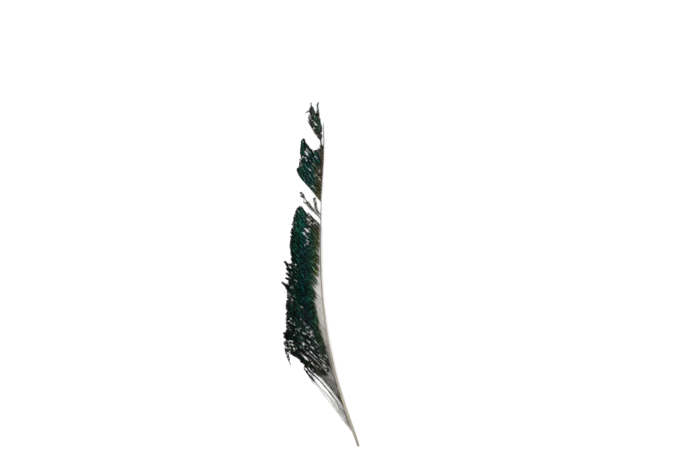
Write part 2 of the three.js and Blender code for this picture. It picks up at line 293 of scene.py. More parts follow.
class Sheet:
    """Collects faces, vertex values and bake coordinates, and makes one mesh of them."""

    # the third value holds the barbules' painted glint, and a random number on the rami and shaft
    NAMES = ("band", "dark", "painted_glint_and_random", "tone")

    def __init__(self):
        self.verts, self.values, self.uv = [], [], []
        self.faces, self.kinds, self.soft = [], [], []
        self.count = 0

    def add(self, verts, faces, values, uv, kind, soft):
        """verts n,3; faces m,3 or m,4; values n,4; uv n,2; kind is the material's number."""
        self.verts.append(verts.astype(np.float32))
        self.values.append(values.astype(np.float32))
        self.uv.append(uv.astype(np.float32))
        self.faces.append(faces.astype(np.int64) + self.count)
        self.kinds.append(np.full(len(faces), kind, np.int32))
        self.soft.append(np.full(len(faces), soft, bool))
        self.count += len(verts)

    def make(self, name, materials):
        verts = (np.concatenate(self.verts) + SHIFT) * MM
        me = bpy.data.meshes.new(name)
        me.vertices.add(len(verts))
        me.vertices.foreach_set("co", verts.astype(np.float32).ravel())
        loops = np.concatenate([f.ravel() for f in self.faces]).astype(np.int32)
        sizes = np.concatenate([np.full(len(f), f.shape[1], np.int32) for f in self.faces])
        me.loops.add(len(loops))
        me.loops.foreach_set("vertex_index", loops)
        me.polygons.add(len(sizes))
        me.polygons.foreach_set("loop_start", np.concatenate([[0], np.cumsum(sizes)[:-1]]).astype(np.int32))
        me.polygons.foreach_set("material_index", np.concatenate(self.kinds))
        me.update(calc_edges=True)
        me.polygons.foreach_set("use_smooth", np.concatenate(self.soft))
        values = np.concatenate(self.values)
        for i, key in enumerate(self.NAMES):
            me.attributes.new(key, "FLOAT", "POINT").data.foreach_set("value", np.ascontiguousarray(values[:, i]))
        uv = np.concatenate(self.uv)[loops]
        layer = me.uv_layers.new(name="OFBake", do_init=False)
        layer.uv.foreach_set("vector", uv.ravel())
        me.validate(clean_customdata=False)
        for m in materials:
            me.materials.append(m)
        ob = bpy.data.objects.new(name, me)
        bpy.context.scene.collection.objects.link(ob)
        return ob


def frames(P):
    """Unit tangents of the barbs P (n, k, 3) and each one's level sideways direction."""
    T = np.gradient(P, axis=1)
    T /= np.linalg.norm(T, axis=2, keepdims=True)
    N = np.stack([T[..., 1], -T[..., 0], np.zeros_like(T[..., 0])], -1)
    N /= np.linalg.norm(N, axis=2, keepdims=True)
    return T, N


def along(A, bi, t):
    """Row bi of A (n, k, d) at share t of its length."""
    k = A.shape[1] - 1
    x = np.clip(t, 0, 1) * k
    i = np.minimum(x.astype(int), k - 1)
    f = (x - i)[:, None]
    return A[bi, i] * (1 - f) + A[bi, i + 1] * f


SAMPLES = 49
V = np.linspace(0, 1, SAMPLES)


def even(points):
    """SAMPLES points at equal steps along the smooth curve through the given ones."""
    p = np.asarray(points, float)
    d = np.concatenate([[0], np.cumsum(np.linalg.norm(np.diff(p, axis=0), axis=1))])
    q = Spline(d, p)(np.linspace(0, d[-1], 240))
    s = np.concatenate([[0], np.cumsum(np.linalg.norm(np.diff(q, axis=0), axis=1))])
    u = V * s[-1]
    return np.stack([np.interp(u, s, q[:, 0]), np.interp(u, s, q[:, 1])], 1)


def root_at(y):
    return (float(plan_x(y)) - 0.7 * float(shaft_r(y)), y)


class Barbs:
    """The middle lines of some barbs, with what the rest of the work needs to know of each."""

    def __init__(self, P, y, bare, loose, tone, long, lift):
        self.y, self.bare, self.loose, self.tone, self.long = y, bare, loose, tone, long
        # from the shaft's flank down to the table, as the CAD has it
        foot = shaft_z(y) + 0.3 * shaft_r(y)
        z = foot[:, None] * (1 - smooth(V / 0.7)) + 0.26
        z = z + lift[:, None] * smooth(V / 0.3) * (1 - 0.45 * V)
        z = z + 0.25 * (0.5 + 0.5 * wave(y[:, None] / 23 + 2.5 * V, 17, 61)) * smooth(V / 0.3)
        z[:, 0] = foot
        # runs of neighbouring barbs share how pale they are and how far their bare part shows
        run = patches(np.arange(len(y)) / 1.7, np.full(len(y), 3.2), int(y[0]) + 7)
        self.run = 0.7 * run + 0.3 * np.random.default_rng(int(y[0])).random(len(y))
        self.streak = 7.0 * np.clip((run - 0.66) / 0.34, 0, 1) * smooth((y - 128) / 20) * (1 - smooth((y - 208) / 6))
        self.P = np.concatenate([P, z[..., None]], -1)
        self.L = np.linalg.norm(np.diff(self.P, axis=1), axis=2).sum(1)
        self.T, self.N = frames(self.P)

    def take(self, pick):
        out = object.__new__(Barbs)
        for key, a in self.__dict__.items():
            out.__dict__[key] = a[pick]
        return out


def add_slits(P):
    """Push the barbs on either side of each slit apart."""
    for sx, sy, turn, half, wide in SLITS:
        a = math.radians(turn)
        ahead, aside = np.array([-math.sin(a), math.cos(a)]), np.array([math.cos(a), math.sin(a)])
        rel = P - np.array([sx, sy])
        p, q = rel @ ahead, rel @ aside
        lens = np.clip(1 - (p / (half * 1.6)) ** 2, 0, None) ** 0.8
        push = (1.3 * max(wide - 0.45, 0) + 0.08) * lens * np.exp(-np.abs(q) / 1.6) * np.sign(q)
        P = P + aside * (push * (np.abs(q) < 7))[..., None]
    return P


def lay_barbs(name, spacing, seed, clump=(2, 5), bare_of=None, tone=0.0, long=1.15, loosen=1.0, gather=0.0,
              release=0.0):
    r = np.random.default_rng(seed)
    roots = np.array([g[0] for g in GUIDES[name]], float)
    guides = np.array([even([root_at(g[0]), *g[1:]]) for g in GUIDES[name]])
    n = max(2, int(round((roots[-1] - roots[0]) / spacing)) + 1)
    y = np.linspace(roots[0], roots[-1], n)
    y[1:-1] += r.uniform(-0.3, 0.3, n - 2) * spacing
    P = Spline(roots, guides)(y)
    P[:, 0, 0] = plan_x(y) - 0.7 * shaft_r(y)
    loose = np.interp(y, LOOSE[:, 0], LOOSE[:, 1]) * loosen

    # each barb swings a little about its root
    swing = np.radians((0.02 + 1.6 * loose) * r.normal(0, 1, n) + (0.1 + 1.2 * loose) * wave(y / 4.3 + seed, seed + 5, 83))
    calm = 1 - 0.8 * ((smooth((y - 61) / 3) * (1 - smooth((y - 136) / 12)))[:, None] * smooth((V - 0.42) / 0.25) * (name == "main_vane"))
    swing = np.clip(swing, -0.075, 0.075)[:, None] * smooth(V / 0.5) * calm
    rel = P - P[:, :1]
    c, s_ = np.cos(swing), np.sin(swing)
    P = P[:, :1] + np.stack([rel[..., 0] * c - rel[..., 1] * s_, rel[..., 0] * s_ + rel[..., 1] * c], -1)

    # lengths: a barb stops short of the outline or passes it
    cut = 1 + r.normal(0, 0.015 + 0.012 * loose, n) + (0.020 + 0.02 * loose) * wave(y / 2.3, seed + 1, 97)
    cut -= (r.random(n) < 0.06 + 0.08 * loose) * r.uniform(0.03, 0.20, n)
    cut = np.minimum(cut, 1.01)
    if name == "main_vane":
        ragged = 0.62 + 0.45 * wave(y / 1.3, seed + 12, 61) + r.normal(0, 0.1, n)
        cut = np.where(y > 220.3, np.clip(ragged, 0.3, 1.0), cut)
    L0 = np.linalg.norm(np.diff(P, axis=1), axis=2).sum(1)
    end = P[:, -1] - P[:, -2]
    end /= np.linalg.norm(end, axis=1, keepdims=True)
    x = V[None] * cut[:, None]
    inside = np.minimum(x, 1) * (SAMPLES - 1)
    k = np.minimum(inside.astype(int), SAMPLES - 2)
    f = (inside - k)[..., None]
    row = np.arange(n)[:, None]
    P = (P[row, k] * (1 - f) + P[row, k + 1] * f
         + end[:, None] * (np.maximum(x - 1, 0) * L0[:, None])[..., None])

    # runs of barbs whose outer parts lean together
    i = 0
    centre = np.zeros(n, int)
    shift, lift = np.zeros(n), np.zeros(n)
    while i < n:
        few, many = (4, 6) if name == "main_vane" and y[i] < 112 else clump
        j = min(n, i + int(r.integers(few, many + 1)))
        centre[i:j] = (i + j - 1) // 2
        shift[i:j] = r.normal(0, 1)
        lift[i:j] = r.uniform(0, 1)
        i = j
    pull = (0.10 + 0.38 * loose)[:, None] * smooth((V - (0.62 - 0.35 * loose[:, None])) / 0.42)
    whole = (smooth((y - 61) / 3) * (1 - smooth((y - 112) / 12)))[:, None] * smooth((V - 0.66) / 0.16) * (name == "main_vane")
    if name == "main_vane":
        gather = (0.52 * (1 - smooth((y - 86) / 24)))[:, None]
    pull = np.maximum(pull * (1 - 0.9 * whole), gather * smooth((V - 0.06) / 0.25) * (1 - release * smooth((V - 0.45) / 0.25)))
    P = P + (P[centre] - P) * pull[..., None]

    # wander
    T = np.gradient(P, axis=1)
    T /= np.linalg.norm(T, axis=2, keepdims=True)
    N = np.stack([T[..., 1], -T[..., 0]], -1)
    length = np.linalg.norm(np.diff(P, axis=1), axis=2).sum(1)
    s = V[None] * length[:, None]
    bend = (shift * (0.03 + 0.7 * loose))[:, None] * smooth((V - 0.3) / 0.7) * (1 - 0.8 * whole)
    phase = r.uniform(0, 97, n)[:, None]
    bend = bend + (0.05 + 0.75 * loose)[:, None] * wave(s / 9.0 + phase, seed + 2, 97) * smooth(V / 0.25) * calm
    bend = bend + (0.08 + 0.12 * loose)[:, None] * wave(s / 2.6 + phase, seed + 6, 97) * smooth(V / 0.25)
    curl = r.normal(0.1, 0.45, n)[:, None] * smooth((V - 0.88) / 0.12) ** 2
    P = P + N * (bend + curl)[..., None]

    bushy = np.zeros(n)
    if name == "main_vane":
        for tx, ty, strength, width in TUFTS:
            out = P[:, -1] - P[:, -7]
            out /= np.linalg.norm(out, axis=1, keepdims=True)
            far = np.array([tx, ty]) - P[:, -1]
            ahead = (far * out).sum(1)
            aside = np.linalg.norm(far - out * ahead[:, None], axis=1)
            c = int(np.argmin(aside + 3 * np.maximum(-ahead, 0) + 0.5 * np.maximum(ahead - 8, 0)))
            w = np.exp(-((np.arange(n) - c) / width) ** 2) * strength
            go = np.array([tx, ty]) - P[c, -1]
            P = P + (P[c] - P) * (w[:, None] * 0.66 * smooth((V - 0.74) / 0.17)[None])[..., None]
            P = P + go * (w[:, None] * (smooth((V - 0.72) / 0.28) ** 1.4)[None])[..., None]
            bushy = np.maximum(bushy, w)
    if name == "main_vane":
        spill = smooth((y - 211) / 11)[:, None] * smooth((V - 0.05) / 0.35)
        P = P + spill[..., None] * np.array([1.5, 1.0])
    if name == "tip_lock":
        stalk = np.exp(-((P[..., 1] - 306.5) / 5.0) ** 2)
        P[..., 0] += (-4.9 - P[..., 0]) * 0.72 * stalk
    P = add_slits(P)
    P[..., 0] = np.maximum(P[..., 0], -62.8)
    P[..., 1] = np.minimum(P[..., 1], 347.0)

    bare = np.interp(y, BARE[:, 0], BARE[:, 1]) if bare_of is None else bare_of(y, length)
    uneven = 1 + 1.6 * smooth((bare - 25) / 25)
    bare = bare + (r.normal(0, 1.3, n) * uneven + 1.2 * wave(y / 3.7, seed + 8, 79)) * smooth((bare - 1) / 6)
    lift = (0.15 + 0.75 * loose) * lift + r.uniform(0, 0.25, n)
    tones = np.full(n, tone)
    longs = long * (1 + 0.40 * bushy)
    for root, points, bald, barbule, brown in STRAYS.get(name, ()):
        line = even([root_at(root), *points])
        for copy in range(2 if name == "lower_lock" else 1):
            off = 0.45 * smooth(V / 0.3) * wave(V * 4 + 11.3 * copy, int(root) + copy, 41) * (copy > 0)
            P = np.concatenate([P, (line + off[:, None] * np.array([0.8, 0.6]))[None]])
            y, bare = np.append(y, root + 0.3 * copy), np.append(bare, bald)
            loose, lift = np.append(loose, 0.6), np.append(lift, 0.9 - 0.2 * copy)
            tones, longs = np.append(tones, brown), np.append(longs, barbule)
    return Barbs(P, y, np.clip(bare, 0.3, None), loose, tones, longs, lift)


def add_rami(sheet, b, thick=1.0, rings=24):
    """The barbs' own shafts: thin closed tubes, taller than wide, that taper to a point."""
    n = len(b.P)
    t = 0.995 * np.linspace(0, 1, rings) ** 0.9
    bi = np.repeat(np.arange(n), rings)
    tt = np.tile(t, n)
    c, side = along(b.P, bi, tt), along(b.N, bi, tt)
    side /= np.linalg.norm(side, axis=1, keepdims=True)
    wide = thick * (0.070 * (1 - tt) ** 0.6 + 0.028)
    tall = thick * (0.16 * (1 - tt) ** 0.8 + 0.030)
    up = np.array([0, 0, 1.0])
    corners = [c + side * wide[:, None], c + up * tall[:, None], c - side * wide[:, None], c - up * tall[:, None]]
    verts = np.stack(corners, 1).reshape(-1, 3)
    ends = np.concatenate([b.P[:, 0] + 0.05 * (b.P[:, 0] - b.P[:, 1]), b.P[:, -1]])
    verts = np.concatenate([verts, ends])
    verts[:, 2] = np.maximum(verts[:, 2], 0.02)
    base = (np.arange(n)[:, None] * rings + np.arange(rings - 1)[None]).reshape(-1) * 4
    first = np.arange(n) * rings * 4
    last = first + (rings - 1) * 4
    foot = n * rings * 4 + np.arange(n)
    quads, tris = [], []
    for a in range(4):
        d = (a + 1) % 4
        quads.append(np.stack([base + a, base + 4 + a, base + 4 + d, base + d], 1))
        tris.append(np.stack([first + d, foot, first + a], 1))
        tris.append(np.stack([last + a, foot + n, last + d], 1))
    s = tt * b.L[bi]
    covered = smooth((s - b.bare[bi] - b.streak[bi] + 1) / 5)
    r = np.random.default_rng(int(b.y[0] * 10) + 5)
    shade = r.random(n)
    pale = np.interp(b.y, PALE[:, 0], PALE[:, 1]) * (0.25 + 1.35 * b.run)
    values = np.repeat(np.stack([tt, covered, shade[bi], pale[bi]], 1), 4, 0)
    values = np.concatenate([values, np.stack([np.zeros(n), np.zeros(n), shade, pale], 1),
                             np.stack([np.ones(n), np.ones(n), shade, pale], 1)])
    row = (np.arange(n) + 0.5) / n
    uv = np.repeat(np.stack([0.02 + 0.96 * tt, row[bi]], 1), 4, 0)
    uv[:, 1] += np.tile([0, 0.12 / n, 0, -0.12 / n], len(bi))
    uv = np.concatenate([uv, np.stack([np.full(n, 0.005), row], 1), np.stack([np.full(n, 0.995), row], 1)])
    sheet.add(verts, np.concatenate(quads), values, uv, 1, True)
    more = np.concatenate(tris)
    sheet.faces.append(more + sheet.count - len(verts))
    sheet.kinds.append(np.full(len(more), 1, np.int32))
    sheet.soft.append(np.ones(len(more), bool))


def add_barbules(sheet, b, band_of, tone_of, step, wide, seed, gaps, spots, turn, taper, hatch):
    """Barbules: flat pointed blades on both sides of each barb, each a closed solid of four faces."""
    r = np.random.default_rng(seed)
    n = len(b.P)
    bis, ss, sides = [], [], []
    for side in (-1.0, 1.0):
        count = np.maximum(0, ((b.L - b.bare - 0.1) / step).astype(int))
        bi = np.repeat(np.arange(n), count)
        k = np.arange(len(bi)) - np.repeat(np.cumsum(count) - count, count)
        bis.append(bi)
        ss.append(b.bare[bi] + (k + r.uniform(0.1, 0.9, len(bi))) * step)
        sides.append(np.full(len(bi), side))
    bi, s, side = np.concatenate(bis), np.concatenate(ss), np.concatenate(sides)
    m = len(bi)
    t = s / b.L[bi]
    loose = b.loose[bi]
    low = smooth((114 - b.y[bi]) / 34)
    inner = smooth((s - b.bare[bi]) / (3 + 16 * low))
    c, tan, nor = along(b.P, bi, t), along(b.T, bi, t), along(b.N, bi, t) * side[:, None]
    tan /= np.linalg.norm(tan, axis=1, keepdims=True)
    nor /= np.linalg.norm(nor, axis=1, keepdims=True)

    edge = smooth((s - (b.L[bi] - 6)) / 5)
    beta = np.radians(46 - 14 * edge - 6 * loose + r.normal(0, 6 + 6 * loose, m))
    tuft = patches(s / 1.5 + 7.3 * bi, bi * 0.9 + 0.4 * side, seed + 2)
    size = b.long[bi] * (0.80 + 0.42 * tuft) * (1 + 0.25 * edge) * r.uniform(0.88, 1.1, m) * (1 - 0.22 * loose)
    late = smooth((b.bare[bi] - 0.7) / 2.5)
    size *= (0.62 - 0.32 * late + (0.38 + 0.32 * late) * smooth((s - b.bare[bi]) / (1.4 + 1.6 * late))) * (0.70 + 0.30 * inner) * (1 + 0.25 * low * smooth((t - 0.6) / 0.2))
    size *= 0.38 + 0.62 * smooth((b.L[bi] - s) / taper)
    D = tan * np.cos(beta)[:, None] + nor * np.sin(beta)[:, None]
    D[:, 2] += r.normal(0.02, 0.10 + 0.10 * loose, m)
    D /= np.linalg.norm(D, axis=1, keepdims=True)

    # gaps: worn patches and the slits, kept clear by every barbule that would reach into them
    spot = c + D * (0.5 * size)[:, None]
    reach = (c, spot, c + D * size[:, None])
    worn = np.maximum(gaps, cover(spot, spots)) + 0.05 * low * (1 - inner)
    gone = r.random(m) < 0.02 + 0.05 * loose
    gone |= s - b.bare[bi] < b.streak[bi] * r.uniform(0.5, 1.0, m)
    gone |= (grain(c, turn, 2.6, 0.95, seed + 1) < worn) | (grain(spot, turn, 2.6, 0.95, seed + 1) < worn)
    short = grain(reach[2], turn, 2.6, 0.95, seed + 1) < worn
    ragged = 0.45 + 1.1 * patches(c[:, 0] / 0.8, c[:, 1] / 0.8, seed + 9)
    for sx, sy, lean, half, width in SLITS:
        a = math.radians(lean)
        hit = []
        for q in reach:
            dx, dy = q[:, 0] - sx, q[:, 1] - sy
            p, o = -math.sin(a) * dx + math.cos(a) * dy, math.cos(a) * dx + math.sin(a) * dy
            hit.append((p / half) ** 2 + (o / (width * 0.62)) ** 2 < ragged)
        gone |= hit[0] | hit[1]
        short |= hit[2]
    size = size * np.where(short, 0.5, 1.0)

    # painted glints: brightness painted in fine ridges a few barbs wide, which break up unevenly along their length
    ridge = 0.64 * b.y[bi] + side * 0.5 * size * np.sin(beta)
    tufts = patches(ridge / 1.02 + 0.5 * wave(s / 4.0, seed + 15, 79), s / 1.9 + 0.21 * ridge, seed + 16)
    ridge = 0.5 + 0.5 * np.sin(2 * np.pi * (ridge / 2.65 + 0.55 * wave(s / 6.0 + ridge / 5.1, seed + 14, 83)))
    softer = 0.92 - 0.30 * smooth((b.y[bi] - 172) / 18) * (1 - smooth((b.y[bi] - 222) / 8))
    glint = (0.27 + hatch * softer * (0.62 * ridge + 0.34 * tufts - 0.475) + 0.22 * patches(s / 0.9, bi * 1.3 + side, seed + 4)
             + 0.06 * grain(spot, turn, 6.0, 3.0, seed + 3) - 0.06 * smooth((t - 0.6) / 0.3) - 0.06 * low
             + (0.08 * smooth((b.y[bi] - 160) / 20) + (0.06 + 0.05 * smooth((t - 0.3) / 0.25)) * smooth((b.y[bi] - 176) / 14)) * (1 - smooth((b.y[bi] - 222) / 8)))
    dark = (0.74 - 0.50 * smooth((b.y[bi] - 158) / 14) - 0.34 * smooth((98 - b.y[bi]) / 16)) * smooth((s - (b.L[bi] - 5.0)) / 3.5)
    band = band_of(s, bi)
    tone = np.clip(b.tone[bi] + tone_of(t, b.y[bi]), 0, 1)
    bi, s, side, t, loose, c, D, size, glint, dark, band, tone = (
        a[~gone] for a in (bi, s, side, t, loose, c, D, size, glint, dark, band, tone))
    m = len(bi)

    W = np.stack([D[:, 1], -D[:, 0], np.zeros(m)], 1)
    W /= np.linalg.norm(W, axis=1, keepdims=True)
    roll = r.normal(0.0, 0.30, m)
    up = np.cross(W, D)
    W = W * np.cos(roll)[:, None] + up * np.sin(roll)[:, None]
    up = np.cross(W, D)
    root = c + np.array([0, 0, 0.03])
    w = (wide * r.uniform(0.85, 1.15, m) * (1 - 0.2 * loose))[:, None] / 2
    verts = np.stack([root + W * w, root - W * w, root - up * 0.05, root + D * size[:, None]], 1).reshape(-1, 3)
    verts[:, 2] = np.maximum(verts[:, 2], 0.015)
    k = np.arange(m)[:, None] * 4
    faces = np.concatenate([k + [0, 3, 1], k + [0, 2, 3], k + [1, 3, 2], k + [0, 1, 2]])
    # the third value is the painted glint that brightens or darkens each barbule's colour
    values = np.repeat(np.stack([band, dark, np.clip(glint, 0, 1), tone], 1), 4, 0)
    row = bi + 0.5
    u = 0.02 + 0.96 * t
    du = 0.5 * step / b.L[bi]
    uv = np.stack([np.stack([u - du, (row + 0.14 * side) / n], 1), np.stack([u + du, (row + 0.14 * side) / n], 1),
                   np.stack([u, (row + 0.20 * side) / n], 1), np.stack([u + du, (row + 0.47 * side) / n], 1)], 1).reshape(-1, 2)
    sheet.add(verts, faces, values, np.clip(uv, 0.001, 0.999), 0, False)


# ---------------------------------------------------------------------------
# Materials

def new_material(name):
    m = bpy.data.materials.new(name)
    m.use_nodes = True
    nt = m.node_tree
    nt.nodes.clear()
    out = nt.nodes.new("ShaderNodeOutputMaterial")
    p = nt.nodes.new("ShaderNodeBsdfPrincipled")
    nt.links.new(p.outputs["BSDF"], out.inputs["Surface"])
    return m, nt, p


def attribute(nt, name):
    a = nt.nodes.new("ShaderNodeAttribute")
    a.attribute_name = name
    return a.outputs["Fac"]


def math_node(nt, op, a, b=None, clamp=False):
    n = nt.nodes.new("ShaderNodeMath")
    n.operation = op
    n.use_clamp = clamp
    for i, x in enumerate((a, b)):
        if x is None:
            continue
        if isinstance(x, (int, float)):
            n.inputs[i].default_value = x
        else:
            nt.links.new(x, n.inputs[i])
    return n.outputs[0]


def noise(nt, scale, detail=2.0, vector=None, stretch=None, rough=0.5):
    n = nt.nodes.new("ShaderNodeTexNoise")
    n.inputs["Scale"].default_value = scale
    n.inputs["Detail"].default_value = detail
    n.inputs["Roughness"].default_value = rough
    co = nt.nodes.new("ShaderNodeTexCoord")
    src = co.outputs["Object"]
    if stretch:
        m = nt.nodes.new("ShaderNodeMapping")
        m.inputs["Scale"].default_value = stretch
        nt.links.new(src, m.inputs["Vector"])
        src = m.outputs["Vector"]
    nt.links.new(src, n.inputs["Vector"])
    return n.outputs["Fac"]


def spread_range(nt, value, lo, hi, to_lo, to_hi):
    n = nt.nodes.new("ShaderNodeMapRange")
    nt.links.new(value, n.inputs["Value"])
    for key, x in zip(("From Min", "From Max", "To Min", "To Max"), (lo, hi, to_lo, to_hi)):
        n.inputs[key].default_value = x
    return n.outputs["Result"]


def ramp(nt, fac, stops):
    n = nt.nodes.new("ShaderNodeValToRGB")
    cr = n.color_ramp
    cr.interpolation = "LINEAR"
    while len(cr.elements) < len(stops):
        cr.elements.new(0.5)
    for e, (pos, col) in zip(cr.elements, stops):
        e.position = pos
        e.color = (*col, 1)
    nt.links.new(fac, n.inputs["Fac"])
    return n.outputs["Color"]


def mix(nt, fac, a, b, blend="MIX"):
    n = nt.nodes.new("ShaderNodeMix")
    n.data_type = "RGBA"
    n.blend_type = blend
    ins = {s.identifier: s for s in n.inputs}
    for key, x in (("Factor_Float", fac), ("A_Color", a), ("B_Color", b)):
        if isinstance(x, (int, float)):
            ins[key].default_value = x
        elif isinstance(x, tuple):
            ins[key].default_value = (*x, 1)
        else:
            nt.links.new(x, ins[key])
    return next(s for s in n.outputs if s.identifier == "Result_Color")


def scale_colour(nt, colour, value):
    n = nt.nodes.new("ShaderNodeVectorMath")
    n.operation = "SCALE"
    nt.links.new(colour, n.inputs[0])
    nt.links.new(value, n.inputs["Scale"])
    return n.outputs["Vector"]


def power(nt, base, exponent):
    return math_node(nt, "POWER", base, exponent)


def barbule_material(name, stops, brown, strength):
    """Iridescent barbules: the hue runs across the vane, and it breaks up from tuft to tuft; painted glints make the
    colour brighter or darker from patch to patch.
    """
    m, nt, p = new_material(name)
    band, dark, painted_glint_and_random, tone = (attribute(nt, k) for k in Sheet.NAMES)
    coarse = noise(nt, 150, 2.0)
    fine = noise(nt, 700, 2.0)
    b = math_node(nt, "ADD", band, spread_range(nt, coarse, 0.3, 0.7, -0.03, 0.03))
    b = math_node(nt, "ADD", b, spread_range(nt, painted_glint_and_random, 0, 1, -0.04, 0.04), clamp=True)
    colour = ramp(nt, b, stops)
    # painted glint: from near black to a bright glint, painted into the base colour
    painted_glint_gain = math_node(nt, "MULTIPLY", spread_range(nt, fine, 0.3, 0.7, 0.7, 1.3),
                     power(nt, 7.0, spread_range(nt, painted_glint_and_random, 0, 1, -1.9, 1.7)))
    painted_glint_gain = math_node(nt, "MULTIPLY", painted_glint_gain, strength)
    colour = scale_colour(nt, colour, painted_glint_gain)
    colour = mix(nt, tone, colour, scale_colour(nt, ramp(nt, b, brown), painted_glint_gain))
    colour = mix(nt, dark, colour, (0.004, 0.006, 0.005))
    nt.links.new(colour, p.inputs["Base Color"])
    p.inputs["Metallic"].default_value = 0.15
    nt.links.new(spread_range(nt, fine, 0.3, 0.7, 0.40, 0.60), p.inputs["Roughness"])
    p.inputs["Specular IOR Level"].default_value = 0.015
    return m


def ramus_material(name):
    """The barbs' own shafts: horn-coloured where bare, dark where the barbules start."""
    m, nt, p = new_material(name)
    band, covered, painted_glint_and_random, pale = (attribute(nt, k) for k in Sheet.NAMES)
    fine = noise(nt, 500, 2.0)
    light = math_node(nt, "ADD", pale, spread_range(nt, fine, 0.3, 0.7, -0.12, 0.12), clamp=True)
    bare = ramp(nt, light, [(0.0, (0.022, 0.018, 0.012)), (0.3, (0.085, 0.074, 0.054)), (0.65, (0.26, 0.24, 0.19)),
                            (1.0, (0.64, 0.62, 0.55))])
    colour = mix(nt, covered, bare, (0.016, 0.017, 0.011))
    nt.links.new(colour, p.inputs["Base Color"])
    nt.links.new(spread_range(nt, fine, 0.3, 0.7, 0.45, 0.65), p.inputs["Roughness"])
    p.inputs["Specular IOR Level"].default_value = 0.25
    return m


def shaft_material(name):
    """Keratin: pale and a little waxy at the quill, greyer up the rachis, with fine streaks along it, and darker
    flanks that are partly its own colour and partly painted shade.
    """
    m, nt, p = new_material(name)
    band, pith, painted_glint_and_random, tone = (attribute(nt, k) for k in Sheet.NAMES)
    streak = noise(nt, 1.0, 3.0, stretch=(2600, 90, 2600))
    cloud = noise(nt, 130, 3.0)
    body = ramp(nt, band, [(0.0, (0.22, 0.205, 0.155)), (0.05, (0.29, 0.27, 0.21)), (0.13, (0.33, 0.30, 0.22)),
                           (0.22, (0.30, 0.265, 0.20)), (0.40, (0.29, 0.26, 0.195)), (0.60, (0.18, 0.158, 0.12)),
                           (0.76, (0.055, 0.046, 0.036)), (1.0, (0.030, 0.024, 0.022))])
    body = scale_colour(nt, body, math_node(nt, "MULTIPLY", spread_range(nt, streak, 0.3, 0.7, 0.72, 1.18),
                                            spread_range(nt, cloud, 0.3, 0.7, 0.86, 1.1)))
    # painted shade: darker towards the flanks, partly the rachis's own darker sides and partly shade where the round
    # shaft turns away from the light
    body = mix(nt, tone, body, (0.055, 0.045, 0.034))
    body = mix(nt, pith, body, (0.16, 0.12, 0.075))
    nt.links.new(body, p.inputs["Base Color"])
    nt.links.new(spread_range(nt, streak, 0.3, 0.7, 0.30, 0.52), p.inputs["Roughness"])
    p.inputs["Specular IOR Level"].default_value = 0.5
    bump = nt.nodes.new("ShaderNodeBump")
    bump.inputs["Strength"].default_value = 0.35
    bump.inputs["Distance"].default_value = 0.00006
    nt.links.new(streak, bump.inputs["Height"])
    nt.links.new(bump.outputs["Normal"], p.inputs["Normal"])
    return m


def srgb(r, g, b):
    def one(c):
        c /= 255
        return c / 12.92 if c <= 0.04045 else ((c + 0.055) / 1.055) ** 2.4
    return one(r), one(g), one(b)


VANE_STOPS = [
    (0.00, srgb(66, 62, 32)), (0.08, srgb(60, 68, 37)), (0.18, srgb(48, 68, 42)), (0.28, srgb(27, 60, 42)),
    (0.40, srgb(8, 49, 42)), (0.54, srgb(5, 36, 41)), (0.66, srgb(5, 48, 46)), (0.80, srgb(9, 58, 46)),
    (0.92, srgb(17, 48, 35)), (1.00, srgb(16, 26, 19)),
]
BROWN_STOPS = [
    (0.00, srgb(70, 57, 39)), (0.35, srgb(64, 57, 43)), (0.65, srgb(58, 56, 46)), (1.00, srgb(54, 52, 47)),
]
UPPER_STOPS = [
    (0.00, srgb(66, 58, 34)), (0.14, srgb(60, 60, 36)), (0.27, srgb(34, 60, 44)), (0.44, srgb(12, 52, 47)),
    (0.56, srgb(10, 44, 49)), (0.70, srgb(6, 50, 47)), (0.86, srgb(12, 54, 43)), (1.00, srgb(16, 30, 22)),
]
TIP_STOPS = [(0.0, srgb(62, 66, 48)), (0.5, srgb(40, 72, 60)), (0.8, srgb(44, 74, 66)), (1.0, srgb(52, 66, 58))]
GREY_STOPS = [(0.0, srgb(108, 105, 98)), (0.5, srgb(101, 100, 95)), (1.0, srgb(94, 94, 90))]
green = barbule_material("barbules_iridescent", VANE_STOPS, BROWN_STOPS, 0.375)
teal = barbule_material("barbules_iridescent_upper", UPPER_STOPS, BROWN_STOPS, 1.25)
tipped = barbule_material("barbules_iridescent_tip", TIP_STOPS, BROWN_STOPS, 1.2)
grey = barbule_material("barbules_grey_brown", GREY_STOPS, GREY_STOPS, 1.7)
ramus = ramus_material("barb_keratin")
keratin = shaft_material("shaft_keratin")


# ---------------------------------------------------------------------------
# The shaft

